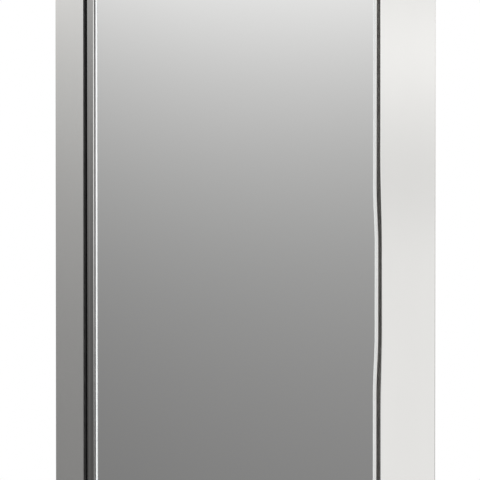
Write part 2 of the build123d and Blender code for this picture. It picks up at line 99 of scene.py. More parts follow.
def pick(piece, kind, test):
    """Opens piece in edit mode and selects the vertices, edges or faces that pass the test."""
    only(piece)
    bpy.ops.object.mode_set(mode="EDIT")
    bpy.ops.mesh.select_mode(type=kind)
    bpy.ops.mesh.select_all(action="DESELECT")
    shape = bmesh.from_edit_mesh(piece.data)
    for part in {"VERT": shape.verts, "EDGE": shape.edges, "FACE": shape.faces}[kind]:
        part.select_set(bool(test(part)))
    bmesh.update_edit_mesh(piece.data)


def close():
    """Leaves edit mode."""
    bpy.ops.object.mode_set(mode="OBJECT")


# %% Settling and modifying
def settle(name, scale=(1, 1, 1), turn=(0, 0, 0)):
    """Names the primitive that was just added, and puts its size, turn and place into its mesh."""
    piece = bpy.context.object
    piece.name = name
    piece.scale = scale
    piece.rotation_euler = turn
    bpy.ops.object.transform_apply(location=True, rotation=True, scale=True)
    return piece


def modify(piece, kind, **settings):
    """Adds a modifier, sets it up and applies it."""
    only(piece)
    bpy.ops.object.modifier_add(type=kind)
    modifier = piece.modifiers[-1]
    for setting, value in settings.items():
        setattr(modifier, setting, value)
    bpy.ops.object.modifier_apply(modifier=modifier.name)


# %% [markdown]
# ## The camera
#
# The view is from the front right and nearly level, with upright lines that stay upright. A near camera
# with a shifted lens could do that too, but the sides would still shrink towards the back. A long lens
# at five metres gives the flat perspective as well. The cabinet is cropped at the top and the bottom.

# %% Camera
camera_azimuth, camera_pitch = math.radians(29.83), math.radians(2.2)
camera_reach, camera_lens, camera_far = 5.0, 389.4, 50
camera_target = Vector((-0.0051, -0.062, 0.042))


def aim(thing, way):
    """Turns a camera or a lamp so that it looks along a direction."""
    thing.rotation_euler = way.to_track_quat("-Z", "Y").to_euler()


away = Vector((
    math.sin(camera_azimuth) * math.cos(camera_pitch),
    -math.cos(camera_azimuth) * math.cos(camera_pitch),
    math.sin(camera_pitch),
))
bpy.ops.object.camera_add(location=camera_target + away * camera_reach)
camera = bpy.context.object
aim(camera, -away)
camera.data.lens = camera_lens
camera.data.clip_end = camera_far
bpy.context.scene.camera = camera
bpy.context.scene.view_settings.view_transform = "Standard"
print("camera", [round(side, 3) for side in camera.location], "lens", camera_lens)

# %% [markdown]
# ## Shader building
#
# `add` places one shader node with its options and inputs, and a linked input is simply the socket that
# feeds it. `place` gives coordinates in metres, stretched along any axis, so a pattern keeps its real
# size on every piece. A finish is then a few patterns that drive its colour, gloss and bumps.

# %% Nodes and patterns
def add(tree, kind, inputs=None, **options):
    """Adds a shader node, and sets its options and inputs."""
    made = tree.nodes.new(kind)
    for option, value in options.items():
        setattr(made, option, value)
    for socket, value in (inputs or {}).items():
        if isinstance(value, bpy.types.NodeSocket):
            tree.links.new(value, made.inputs[socket])
        else:
            made.inputs[socket].default_value = value
    return made


def place(tree, scale=(1, 1, 1)):
    """Object coordinates in metres, stretched by scale."""
    where = add(tree, "ShaderNodeTexCoord").outputs["Object"]
    return add(tree, "ShaderNodeMapping", {"Vector": where, "Scale": scale}).outputs["Vector"]


def noise(tree, scale, detail):
    """A noise from 0 to 1, in patches of about one over scale metres."""
    inputs = {"Vector": place(tree, scale), "Scale": 1.0, "Detail": detail}
    return add(tree, "ShaderNodeTexNoise", inputs).outputs["Fac"]


def spread(tree, value, low, high, start=0.3, end=0.7, smooth="LINEAR"):
    """Maps start to end, where most of a noise lies, onto low to high."""
    inputs = {"Value": value, "From Min": start, "From Max": end, "To Min": low, "To Max": high}
    return add(tree, "ShaderNodeMapRange", inputs, interpolation_type=smooth).outputs["Result"]


# %% Sums and mixes
def math_node(tree, operation, *values):
    """One operation on one, two or three values."""
    return add(tree, "ShaderNodeMath", dict(enumerate(values)), operation=operation).outputs["Value"]


def plus(tree, first, second):
    """The sum of two values."""
    return math_node(tree, "ADD", first, second)


def times(tree, first, second):
    """The product of two values."""
    return math_node(tree, "MULTIPLY", first, second)


def blend_colours(tree, share, first, second):
    """A mix of two colours."""
    made = add(tree, "ShaderNodeMix", {"Factor": share}, data_type="RGBA")
    colour_inputs = [socket for socket in made.inputs if socket.type == "RGBA"]
    for socket, value in zip(colour_inputs, (first, second)):
        if isinstance(value, bpy.types.NodeSocket):
            tree.links.new(value, socket)
        else:
            socket.default_value = (*value, 1)
    return [socket for socket in made.outputs if socket.type == "RGBA"][0]


# %% Finishes from patterns
def new_finish(name, **sockets):
    """A material with its main shader, and that shader's constant sockets set."""
    material = bpy.data.materials.new(name)
    material.use_nodes = True
    shader = material.node_tree.nodes["Principled BSDF"]
    for socket, value in sockets.items():
        shader.inputs[socket.replace("_", " ")].default_value = value
    return material, material.node_tree, shader


def tint(tree, shader, pattern, light, dark):
    """Colours a surface between two tones, by a pattern."""
    colour = blend_colours(tree, spread(tree, pattern, 0, 1), light, dark)
    tree.links.new(colour, shader.inputs["Base Color"])


def polish(tree, shader, pattern, low, high):
    """Sets the roughness of a surface between two values, by a pattern."""
    tree.links.new(spread(tree, pattern, low, high), shader.inputs["Roughness"])


def bumps(tree, shader, pattern, depth, under=None):
    """Raises a surface by a pattern, on top of another bump where one is given."""
    inputs = {"Height": pattern, "Distance": depth}
    if under is not None:
        inputs["Normal"] = under
    made = add(tree, "ShaderNodeBump", inputs).outputs["Normal"]
    tree.links.new(made, shader.inputs["Normal"])
    return made


# %% [markdown]
# ## Polished steel
#
# The case is bright stainless sheet. Polishing leaves hair-fine upright lines, and a sheet this thin is
# never quite flat, so reflections on it drift a little. A noise that is stretched along the sheet draws
# such lines at their real size on every piece. One function makes the finish at any brightness and
# gloss, so it serves the case, the duller rolled barrel and the zinc-plated fittings.

# %% Steel finishes
upright_grain, even_grain = (1500, 1500, 12), (260, 260, 260)
haze_patches, sheet_waves = (7, 7, 3), (5, 5, 5)
hairline_depth = 4e-7


def steel(name, bright, dull, gloss, grain, drift, metallic=1.0):
    """Sheet steel: bright and dull are its two tones, gloss its range of roughness, drift its waviness."""
    material, tree, shader = new_finish(name, Metallic=metallic)
    tint(tree, shader, noise(tree, haze_patches, detail=4.0), bright, dull)
    lines = noise(tree, grain, detail=2.0)
    polish(tree, shader, lines, *gloss)
    wave = bumps(tree, shader, noise(tree, sheet_waves, detail=1.0), drift)
    bumps(tree, shader, lines, hairline_depth, under=wave)
    return material


bright_steel = steel(
    "bright_steel", (0.83, 0.823, 0.804), (0.805, 0.798, 0.78), (0.06, 0.12), upright_grain, 0.6 * MM,
    metallic=0.945,
)
satin_steel = steel(
    "satin_steel", (0.72, 0.715, 0.7), (0.64, 0.635, 0.62), (0.26, 0.4), upright_grain, 0.4 * MM,
)
rolled_steel = steel(
    "rolled_steel", (0.445, 0.44, 0.431), (0.41, 0.405, 0.396), (0.1, 0.17), upright_grain, 0.2 * MM,
)
zinc_plate = steel(
    "zinc_plate", (0.66, 0.67, 0.69), (0.54, 0.55, 0.57), (0.24, 0.42), even_grain, 0.3 * MM,
)
print("steel finishes:", bright_steel.name, satin_steel.name, rolled_steel.name, zinc_plate.name)

# %% [markdown]
# ## Mirror glass
#
# A mirror is three surfaces: the silvered face, the ground edge of the glass, which is pale green and
# matt, and the grey paint that keeps the silver from the damp. It could be clear glass over a metal
# sheet, but so thin a gap renders slowly and shows no more than a silver face does.

# %% Mirror finishes
def silvered_face():
    """Silver behind clear glass, with the faintest wipe marks."""
    material, tree, shader = new_finish("silvered_face", Metallic=1.0)
    wipes = noise(tree, (3, 3, 9), detail=5.0)
    tint(tree, shader, wipes, (0.862, 0.86, 0.852), (0.85, 0.85, 0.842))
    polish(tree, shader, wipes, 0.012, 0.03)
    bumps(tree, shader, noise(tree, (4, 4, 4), detail=0.0), 0.03 * MM)
    return material


def coat(name, grain, light, dark, gloss, depth):
    """A matt surface whose colour, gloss and bumps all follow one grain."""
    material, tree, shader = new_finish(name, Metallic=0.0)
    pattern = noise(tree, grain, detail=2.0)
    tint(tree, shader, pattern, light, dark)
    polish(tree, shader, pattern, *gloss)
    bumps(tree, shader, pattern, depth)
    return material


stone_marks, orange_peel = (2600, 2600, 900), (700, 700, 700)
mirror_finishes = (
    silvered_face(),
    coat("ground_edge", stone_marks, (0.82, 0.835, 0.82), (0.72, 0.745, 0.73), (0.25, 0.5), 0.03 * MM),
    coat("backing_paint", orange_peel, (0.2, 0.21, 0.22), (0.16, 0.17, 0.18), (0.45, 0.65), 0.04 * MM),
)
print("mirror finishes:", *(finish.name for finish in mirror_finishes))

# %% [markdown]
# ## Plastics, rubber and shelf glass
#
# The small parts are moulded: white trim on the mirror's hinge edge, nylon bushes, a plastic catch
# body, soft bumpers and the mastic that holds the glass. They share one recipe, a mottled colour with a
# moulded grain, and differ in tone, gloss and the size of the grain. The shelves are clear, but green
# through their edge. That could be done with a coloured volume, which renders slowly, so here the edge
# is told from the face by the way it looks.

# %% Moulded finishes
mottle_patches = (60, 60, 60)


def moulded(name, light, dark, gloss, grain_size, grain_depth):
    """A moulded or cast material with a mottled colour and a fine grain."""
    material, tree, shader = new_finish(name, Metallic=0.0)
    tint(tree, shader, noise(tree, mottle_patches, detail=4.0), light, dark)
    grain = noise(tree, (1 / grain_size,) * 3, detail=2.0)
    polish(tree, shader, grain, *gloss)
    bumps(tree, shader, grain, grain_depth)
    return material


white_trim = moulded("trim_white", (0.95, 0.965, 0.965), (0.9, 0.92, 0.92), (0.12, 0.25), 0.5 * MM, 5e-6)
nylon = moulded("bush_nylon", (0.87, 0.86, 0.81), (0.8, 0.79, 0.73), (0.35, 0.5), 0.3 * MM, 1e-5)
catch_plastic = moulded("catch_body", (0.88, 0.88, 0.86), (0.82, 0.82, 0.8), (0.35, 0.5), 0.4 * MM, 2e-5)
ferrite = moulded("magnet_black", (0.1, 0.1, 0.11), (0.05, 0.05, 0.055), (0.5, 0.75), 0.2 * MM, 2e-5)
soft_rubber = moulded("bumper_soft", (0.75, 0.76, 0.75), (0.64, 0.65, 0.64), (0.2, 0.35), 0.3 * MM, 8e-6)
# black rubber, whose black also paints the shade inside the hinge groove
groove_shade_rubber = moulded("groove_black", (0.03,) * 3, (0.02,) * 3, (0.6, 0.85), 0.5 * MM, 2e-5)
mastic = moulded("mastic", (0.13,) * 3, (0.07,) * 3, (0.45, 0.65), 1.2 * MM, 6e-5)
foam_board = moulded("foam_board", (0.93, 0.93, 0.94), (0.82, 0.83, 0.86), (0.7, 0.9), 1.5 * MM, 1e-4)
print(len(bpy.data.materials), "materials so far")


# %% Shelf glass
def clear_glass():
    """Clear float glass, green where a surface looks sideways."""
    material, tree, shader = new_finish("float_glass", Transmission_Weight=0.92, IOR=1.5)
    facing = add(tree, "ShaderNodeNewGeometry").outputs["Normal"]
    upward = add(tree, "ShaderNodeSeparateXYZ", {0: facing}).outputs["Z"]
    flat = spread(tree, math_node(tree, "ABSOLUTE", upward), 0, 1, start=0.6, end=0.95)
    dust = noise(tree, (90, 90, 90), detail=4.0)
    face = blend_colours(tree, spread(tree, dust, 0, 1), (0.95, 0.985, 0.97), (0.91, 0.96, 0.94))
    colour = blend_colours(tree, flat, (0.3, 0.66, 0.52), face)
    tree.links.new(colour, shader.inputs["Base Color"])
    polish(tree, shader, dust, 0.02, 0.06)
    return material


float_glass = clear_glass()
print("shelf glass:", float_glass.name)

# %% [markdown]
# ## The studio
#
# Polished steel and a mirror show little of themselves, so the studio is half of the picture. The world
# is plain white to the eye and to reflections, and dimmer as light. A pale floor lies under the cabinet
# and fades out towards its rim. In reflections the floor is not lit but glows with a painted shade that
# greys with distance, and through its faded rim they see the lower part of the ring of tones, so that no
# line shows where the two meet.

# %% World
world_light = 0.62
world = bpy.data.worlds.new("white_studio")
bpy.context.scene.world = world
world.use_nodes = True
air = world.node_tree
path = add(air, "ShaderNodeLightPath").outputs
seen = math_node(air, "MAXIMUM", path["Is Camera Ray"], path["Is Glossy Ray"])
seen = math_node(air, "MAXIMUM", seen, path["Is Transmission Ray"])
background = air.nodes["Background"]
background.inputs["Color"].default_value = (1, 1, 1, 1)
air.links.new(spread(air, seen, world_light, 1.0, 0, 1), background.inputs["Strength"])
print("world light", world_light)

# %% Floor
ring_radius = 1.6
floor_fade, floor_rim = 0.6, 1.47
near_grey, far_grey = 0.62, 0.2
grey_start, grey_end = 0.2, 1.5


def pale_floor():
    """Pale, faintly speckled, fades out at its rim; reflections see a painted shade, greyer with distance."""
    material, tree, shader = new_finish("pale_floor", Roughness=0.8)
    pale = blend_colours(tree, noise(tree, (40, 40, 40), detail=4.0), (0.9, 0.9, 0.9), (0.86, 0.86, 0.86))
    tree.links.new(pale, shader.inputs["Base Color"])
    flat = place(tree, (1, 1, 0))
    reach = add(tree, "ShaderNodeVectorMath", {0: flat}, operation="LENGTH").outputs["Value"]
    solid = spread(tree, reach, 1, 0, floor_fade, floor_rim, "SMOOTHSTEP")
    tree.links.new(solid, shader.inputs["Alpha"])
    # painted shade: in reflections the floor glows, greyer with distance, instead of being lit
    grey = spread(tree, reach, near_grey, far_grey, grey_start, grey_end, "SMOOTHSTEP")
    shade = add(tree, "ShaderNodeEmission", {"Strength": grey}).outputs["Emission"]
    clear = add(tree, "ShaderNodeBsdfTransparent").outputs["BSDF"]
    faded = add(tree, "ShaderNodeMixShader", {0: solid, 1: clear, 2: shade}).outputs["Shader"]
    glossy = add(tree, "ShaderNodeLightPath").outputs["Is Glossy Ray"]
    mixed = add(tree, "ShaderNodeMixShader", {0: glossy, 1: shader.outputs["BSDF"], 2: faded})
    tree.links.new(mixed.outputs["Shader"], tree.nodes["Material Output"].inputs["Surface"])
    return material


bpy.ops.object.select_all(action="DESELECT")
bpy.ops.mesh.primitive_circle_add(
    vertices=128, radius=ring_radius, fill_type="NGON", location=(0, 0, cad_low.z),
)
floor = settle("studio_floor")
floor.data.materials.append(pale_floor())
floor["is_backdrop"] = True
print("floor at", round(cad_low.z / MM), "mm, radius", ring_radius, "m")

# %% [markdown]
# ## The ring of tones
#
# The reflected surroundings are one ring of card around the cabinet, which neither the camera nor the
# light on the object sees. A picture of a room could be reflected instead, but a tone that depends on
# height and bearing is easier to tune. Bearings are degrees from the front towards the right. Each zone
# has its own fall of tone: the mirror and the stile look at the zone on the front left, the barrel looks
# all round, and the right side looks at the pale zone behind it.

# %% Rises, falls and bands
def fall(tree, height, base, gain, rate):
    """A tone that falls off downwards: base plus gain times e to the power of rate times height."""
    growth = math_node(tree, "EXPONENT", times(tree, height, rate))
    return plus(tree, times(tree, growth, gain), base)


def rise(tree, height, foot_tone, top_tone, foot, top):
    """A tone that climbs smoothly from the foot to the top, and is even beyond them."""
    return spread(tree, height, foot_tone, top_tone, foot, top, "SMOOTHSTEP")


def band(tree, height, level, width, gain):
    """A tone that is strongest at a level, and fades out softly above and below it."""
    off = math_node(tree, "DIVIDE", math_node(tree, "SUBTRACT", height, level), width)
    fading = math_node(tree, "EXPONENT", times(tree, times(tree, off, off), -1))
    return times(tree, fading, gain)


# %% Zones of the ring
def mirror_tone(tree, bearing, height):
    """The fall of grey that the mirror shows, brighter towards its right and capped at the top."""
    lean, bend, lift = 0.137, 0.091, 0.036
    cap, cap_softness = 1.046, 0.5
    share = spread(tree, bearing, 0, 1, start=-35, end=-20.5)
    slope = math_node(tree, "SUBTRACT", lean, times(tree, share, bend))
    higher = plus(tree, height, times(tree, share, slope))
    tone = plus(tree, fall(tree, higher, base=0.182, gain=0.174, rate=4.13), times(tree, share, lift))
    return math_node(tree, "SMOOTH_MIN", tone, cap, cap_softness)


def room_tone(tree, bearing, height):
    """A steeper fall, for all that looks elsewhere."""
    cap = 0.92
    return math_node(tree, "MINIMUM", fall(tree, height, base=0.125, gain=0.178, rate=5.2), cap)


def lamp_tone(tree, bearing, height):
    """A bright strip that fades out downwards."""
    return rise(tree, height, foot_tone=0.26, top_tone=2.0, foot=-0.36, top=0.14)


def beside_tone(tree, bearing, height):
    """A half tone beside the strip."""
    return rise(tree, height, foot_tone=0.12, top_tone=1.05, foot=-0.25, top=0.05)


def pale_tone(tree, bearing, height):
    """Nearly white, with a brighter band high up and a greyer band below that."""
    bright = band(tree, height, level=0.225, width=0.075, gain=0.11)
    grey = band(tree, height, level=0.065, width=0.07, gain=-0.08)
    return plus(tree, plus(tree, bright, grey), 0.94)


def rear_tone(tree, bearing, height):
    """A soft fall of grey behind the cabinet."""
    return rise(tree, height, foot_tone=0.75, top_tone=1.0, foot=-0.4, top=0.8)


zones = [
    # zone, first and last bearing, width of the soft border
    (mirror_tone, -38, -18, 4),
    (lamp_tone, 66, 85, 4),
    (beside_tone, 85, 126, 4),
    (pale_tone, 128, 176, 8),
    (rear_tone, 168, 200, 10),
]
print("zones laid over the room's tone:", *(row[0].__name__ for row in zones))


# %% Ring card
ring_foot, ring_height = -1.4, 3.6


def ring_tones(tree):
    """Tones of the ring: the room's tone, with the zones laid over it one by one."""
    where = add(tree, "ShaderNodeSeparateXYZ", {0: place(tree)}).outputs
    height = where["Z"]
    turn = math_node(tree, "ARCTAN2", where["X"], times(tree, where["Y"], -1))
    bearing = math_node(tree, "DEGREES", turn)
    around = math_node(tree, "ABSOLUTE", bearing)
    tone = room_tone(tree, bearing, height)
    for zone, first, last, border in zones:
        angle = around if last > 180 else bearing
        enter = spread(tree, angle, 0, 1, first - border / 2, first + border / 2, "SMOOTHSTEP")
        leave = spread(tree, angle, 1, 0, last - border / 2, last + border / 2, "SMOOTHSTEP")
        laid = {0: times(tree, enter, leave), 2: tone, 3: zone(tree, bearing, height)}
        tone = add(tree, "ShaderNodeMix", laid).outputs[0]
    return tone


bpy.ops.object.select_all(action="DESELECT")
bpy.ops.mesh.primitive_cylinder_add(
    vertices=192, radius=ring_radius, depth=ring_height, end_fill_type="NOTHING",
    location=(0, 0, ring_foot + ring_height / 2),
)
ring = settle("studio_ring")
material = bpy.data.materials.new("studio_ring")
material.use_nodes = True
tree = material.node_tree
tree.nodes.clear()
shine = add(tree, "ShaderNodeEmission", {"Strength": ring_tones(tree)})
add(tree, "ShaderNodeOutputMaterial", {"Surface": shine.outputs["Emission"]})
ring.data.materials.append(material)
for ray in ("camera", "diffuse", "transmission", "volume_scatter", "shadow"):
    setattr(ring, f"visible_{ray}", False)
ring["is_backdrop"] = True
print("ring of", len(zones) + 1, "zones, radius", ring_radius, "m")

# %% [markdown]
# ## Lamps
#
# Two soft lamps shape the white trim, the ground edges and the inside. They are kept out of reflections,
# so that no bright squares appear in the mirror, and low enough that a white stays just under white.

# %% Lamps
def soft_lamp(name, spot, power, size):
    """A square lamp aimed at the cabinet."""
    bpy.ops.object.light_add(type="AREA", location=spot)
    lamp = bpy.context.object
    lamp.name = name
    lamp.data.energy = power
    lamp.data.size = size
    aim(lamp, -Vector(spot))
    lamp.visible_glossy = False
    lamp.visible_camera = False
    print(name, "of", power, "W,", round(Vector(spot).length, 2), "m away")


soft_lamp("key_lamp", spot=(-1.3, -2.6, 1.4), power=36, size=1.6)
soft_lamp("fill_lamp", spot=(2.4, -1.6, 1.0), power=26, size=1.4)

# %% [markdown]
# ## Turned pieces and copies
#
# Screws, rivets, pins and bumpers are round. A profile could be spun, but then its seam has to be
# closed, so they are drawn up from a disc as on a lathe: each ring of the profile is one extrusion, made
# wider or narrower about the axis. What repeats is modelled once, and each copy gets a mesh of its own
# before it is turned and set in its place.

# %% Turning
def turned(name, rings, spot=(0, 0), sides=32):
    """A turned piece about an upright axis over a spot, from rings of radius and height."""
    radius, height = rings[0]
    bpy.ops.object.select_all(action="DESELECT")
    bpy.ops.mesh.primitive_circle_add(
        vertices=sides, radius=radius, fill_type="NGON", location=(*spot, height),
    )
    piece = settle(name)
    pick(piece, "FACE", lambda face: True)
    for next_radius, next_height in rings[1:]:
        bpy.ops.mesh.extrude_region_move(TRANSFORM_OT_translate={"value": (0, 0, next_height - height)})
        share = next_radius / radius
        bpy.ops.transform.resize(value=(share, share, 1), center_override=(*spot, next_height))
        radius, height = next_radius, next_height
    bpy.ops.mesh.select_all(action="SELECT")
    bpy.ops.mesh.normals_make_consistent(inside=False)
    close()
    return piece


def dome(radius, height, end, steps=6):
    """Rings of a dome over the origin: a quarter ellipse that stops at an angle short of its pole."""
    angles = [math.radians(end * step / steps) for step in range(steps + 1)]
    return [(radius * math.cos(angle), height * math.sin(angle)) for angle in angles]


# %% Copies
point_up, point_down = (0, 0, 0), (math.pi, 0, 0)
point_forward, point_back = (math.pi / 2, 0, 0), (-math.pi / 2, 0, 0)
half_round = (0, 0, math.pi)


def copy_of(piece, name, step=(0, 0, 0), turn=(0, 0, 0)):
    """A copy of a piece with its own mesh, turned about the origin and then moved by a step."""
    only(piece)
    bpy.ops.object.duplicate(linked=False)
    twin = bpy.context.object
    twin.name = name
    twin.rotation_euler = turn
    twin.location = step
    bpy.ops.object.transform_apply(location=True, rotation=True, scale=True)
    return twin


def group(name, piece, places):
    """Copies of a piece, each with its step and turn, joined into one object that takes its place."""
    copies = [copy_of(piece, name, step, turn) for step, turn in places]
    bpy.data.objects.remove(piece)
    only(copies[0])
    for twin in copies:
        twin.select_set(True)
    bpy.ops.object.join()
    return copies[0]


# %% [markdown]
# ## Round holes
#
# Rivets hold the back to the flanges and the strikes to the door, and the back hangs on four screws. A
# hole could be modelled into the faces of a sheet, but a boolean with round pegs leaves the rest of the
# sheet as it is. Holes come before the edges of a sheet are broken, so that every rim is broken too.

# %% Places of the rivets
rivet_head, rivet_hole = 3.2 * MM, 1.6 * MM
rivet_rows = (-310 * MM, 0, 310 * MM)
low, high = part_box("back_rivets")
side_x, rail_z = high.x - rivet_head, high.z - rivet_head
right_rivets = [(side_x, row) for row in rivet_rows]
left_rivets = [(-side_x, row) for row in rivet_rows]
back_rivets = left_rivets + right_rivets + [(0, -rail_z), (0, rail_z)]
low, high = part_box("strike_rivets")
columns = (low.x + rivet_head, high.x - rivet_head)
lower_rivets = [(column, low.z + rivet_head) for column in columns]
upper_rivets = [(column, high.z - rivet_head) for column in columns]
strike_rivets = lower_rivets + upper_rivets
print(len(back_rivets), "rivets in the back,", len(strike_rivets), "in the strikes")

# %% Punching
peg_half = 2 * MM


def cut_away(piece, cutter):
    """Takes the cutter's shape out of a piece, and throws the cutter away."""
    modify(piece, "BOOLEAN", operation="DIFFERENCE", solver="EXACT", object=cutter)
    bpy.data.objects.remove(cutter)


def punched(piece, radius, spots, depth):
    """Punches round holes through a sheet that stands at a depth, at spots across and up."""
    peg = turned("peg", [(radius, -peg_half), (radius, peg_half)], sides=48)
    cut_away(piece, group("pegs", peg, [((x, depth, z), point_forward) for x, z in spots]))


# %% [markdown]
# ## Folded sheet
#
# The sides are sheet steel bent on a press brake. A box could be hollowed out, but the model follows the
# maker's steps instead: a flat strip stands on the first leg of the plan, each next leg is extruded from
# the free edge, the fold lines are bevelled to the bend radius, and the sheet gets its thickness on the
# inside. A fold that is sharper than the sheet is thick is bevelled last, or its inner side would cross
# itself. Where an edge is scooped or swelled, the strip is first cut into rows, and the rows near the
# middle are pulled.

# %% Strips
def runs(edge, axis):
    """True for an edge that runs along an axis: 0 across, 1 into the wall or 2 up."""
    first, second = (corner.co for corner in edge.verts)
    return abs((second - first).normalized()[axis]) > 0.9999


def upright(edge):
    """True for an edge that runs straight up."""
    return runs(edge, 2)


def at(edge, spot):
    """True for an edge over a spot in plan."""
    return (middle(edge).xy - Vector(spot)).length < NEAR


def strip(name, plan, foot, top):
    """A strip that stands on a line of corners in plan, from foot to top, facing right of its way."""
    start, end = Vector(plan[0]), Vector(plan[1])
    leg = end - start
    bpy.ops.object.select_all(action="DESELECT")
    bpy.ops.mesh.primitive_plane_add(size=1, location=(*(start + end) / 2, (foot + top) / 2))
    piece = settle(name, (leg.length, top - foot, 1), (math.pi / 2, 0, math.atan2(leg.y, leg.x)))
    for here, there in zip(plan[1:], plan[2:]):
        pick(piece, "EDGE", lambda edge: upright(edge) and at(edge, here))
        step = (there[0] - here[0], there[1] - here[1], 0)
        bpy.ops.mesh.extrude_region_move(TRANSFORM_OT_translate={"value": step})
        close()
    return piece


# %% Folds and thickness
def rounded(piece, test, radius, segments):
    """Rounds the edges that pass a test."""
    pick(piece, "EDGE", test)
    bpy.ops.mesh.bevel(offset=radius, segments=segments, affect="EDGES")
    close()


def fold(piece, corners, radius, segments=6):
    """Rounds the fold lines of a strip to a bend radius."""
    rounded(piece, lambda edge: upright(edge) and any(at(edge, corner) for corner in corners),
            radius, segments)


def thicken(piece, sheet):
    """Gives a strip its thickness, behind the face that shows."""
    modify(piece, "SOLIDIFY", thickness=sheet, offset=-1, use_even_offset=True)


# %% Rows
row_cuts = 99


def cut_rows(piece):
    """Cuts a strip into level rows."""
    pick(piece, "EDGE", upright)
    bpy.ops.mesh.subdivide(number_cuts=row_cuts)
    close()


def bulge(height, flat, end):
    """1 near the middle height, 0 beyond the end, and a smooth ramp between."""
    share = min(max((end - abs(height)) / (end - flat), 0), 1)
    return share * share * (3 - 2 * share)


def pull_rows(piece, chosen, step, flat, end):
    """Moves chosen places row by row: by the whole step near the middle height, and by less further off."""
    for height in sorted({round(corner.co.z, 6) for corner in piece.data.vertices}):
        share = bulge(height, flat, end)
        if share > 0:
            pick(piece, "VERT", lambda corner: chosen(corner.co) and abs(corner.co.z - height) < NEAR)
            bpy.ops.transform.translate(value=Vector(step) * share)
            close()


# %% [markdown]
# ## Blocks, broken edges and dressing
#
# Some pieces start as a block instead. No real edge is quite sharp, so a bevel breaks those of every
# piece, which makes them catch the light. When a piece is done, it is shaded smooth, given its finish,
# and tied to the body of the solid that it stands for, and that solid is hidden.

# %% Blocks and broken edges
edge_break, fine_break = 0.2 * MM, 0.15 * MM
sharp_angle = math.radians(50)


def block(name, low, high):
    """A block between two corners, its place in its mesh."""
    bpy.ops.object.select_all(action="DESELECT")
    bpy.ops.mesh.primitive_cube_add(size=1, location=(Vector(low) + Vector(high)) / 2)
    return settle(name, Vector(high) - Vector(low))


def soften(piece, width, segments=2):
    """Breaks the sharp edges of a piece with a small rounding."""
    modify(piece, "BEVEL", width=width, segments=segments, limit_method="ANGLE", angle_limit=sharp_angle)


# %% Dressing
smooth_angle = math.radians(35)
slot_of = {row["node"]: row["material_slot"] for row in frame["record"]["subparts"]}
members_of = frame["record"]["behaviour"]["bodies"]
body_of = {node: body for body, members in members_of.items() for node in members}


def dress(piece, finish, node):
    """Shades a piece, gives it a finish, ties it to the body of its solid and hides that solid."""
    only(piece)
    bpy.ops.object.shade_smooth_by_angle(angle=smooth_angle)
    modify(piece, "WEIGHTED_NORMAL", weight=100, keep_sharp=True)
    if not piece.data.materials:
        piece.data.materials.append(finish)
    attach(piece, body_of[node])
    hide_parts(node)
    print(f"{piece.name}: {len(piece.data.polygons)} faces, for {node}")


# %% [markdown]
# ## Left side and hinge stile
#
# One sheet makes the rear flange, the left side, the polished stile beside the mirror, the return into
# the hinge groove, and the lip that closes the groove, so it is one strip with four folds. Notches at
# both ends let the pivot brackets out.

# %% Left side
case_sheet = 1.2 * MM
bend_radius, sharp_bend = 2.0 * MM, 0.6 * MM
rear_flange, lip_reach, pivot_notch = 14 * MM, 13.4 * MM, 7 * MM
left_low, left_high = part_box("left_side")
right_low, right_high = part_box("right_side")
case_front = right_low.y
stile_edge = left_high.x - lip_reach
left_plan = [
    (left_low.x + rear_flange, left_high.y),
    (left_low.x, left_high.y),
    (left_low.x, left_low.y),
    (stile_edge, left_low.y),
    (stile_edge, case_front),
    (left_high.x, case_front),
]
left_side = strip("hinge_stile_side", left_plan, left_low.z, left_high.z)
thicken(left_side, case_sheet)
fold(left_side, left_plan[1:4], sharp_bend)
fold(left_side, left_plan[4:5], bend_radius)
for end in (left_low.z, left_high.z):
    # the block reaches past the return, the lip and the sheet's end, so that the cut is clean
    notch_low = (stile_edge - bend_radius, left_low.y + bend_radius, end - pivot_notch)
    notch_high = (left_high.x + bend_radius, case_front + rear_flange, end + pivot_notch)
    cut_away(left_side, block("notch", notch_low, notch_high))
punched(left_side, rivet_hole, left_rivets, left_high.y)
soften(left_side, edge_break)
dress(left_side, bright_steel, "left_side")

# %% [markdown]
# ## Right side with its finger scoop
#
# The right side's front flange is pressed back a few millimetres about its middle, so that a fingertip
# can get behind the mirror. A lattice could press it, but pulling rows gives the scoop its exact depth
# and length. The front fold follows the scoop, so it is bevelled after the rows are pulled.

# %% Right side
front_flange, front_bend = 20 * MM, 0.7 * MM
scoop, scoop_flat, scoop_end = 2.9 * MM, 38 * MM, 122 * MM
right_plan = [
    (right_high.x - front_flange, right_low.y),
    (right_high.x, right_low.y),
    (right_high.x, right_high.y),
    (right_high.x - rear_flange, right_high.y),
]


def on_front_fold(corner):
    """True for a corner on the outer line of the front fold."""
    return corner.co.x > right_high.x - NEAR and corner.co.y < case_front + scoop + NEAR


right_side = strip("scooped_side", right_plan, right_low.z, right_high.z)
cut_rows(right_side)
pull_rows(right_side, lambda spot: spot.y < case_front + front_flange, (0, scoop, 0), scoop_flat, scoop_end)
thicken(right_side, case_sheet)
fold(right_side, right_plan[2:3], sharp_bend)
rounded(right_side, lambda edge: all(map(on_front_fold, edge.verts)), front_bend, segments=6)
punched(right_side, rivet_hole, right_rivets, right_high.y)
soften(right_side, edge_break)
dress(right_side, bright_steel, "right_side")

# %% [markdown]
# ## Mirror pane
#
# The pane is a flat strip whose free edge swells a little where the finger goes. It is thickened to
# four millimetres, and its sharp rims are ground off as a small arris. Then the faces are sorted by the
# way they look: the front is silvered, the back painted, and all that is left is ground edge.

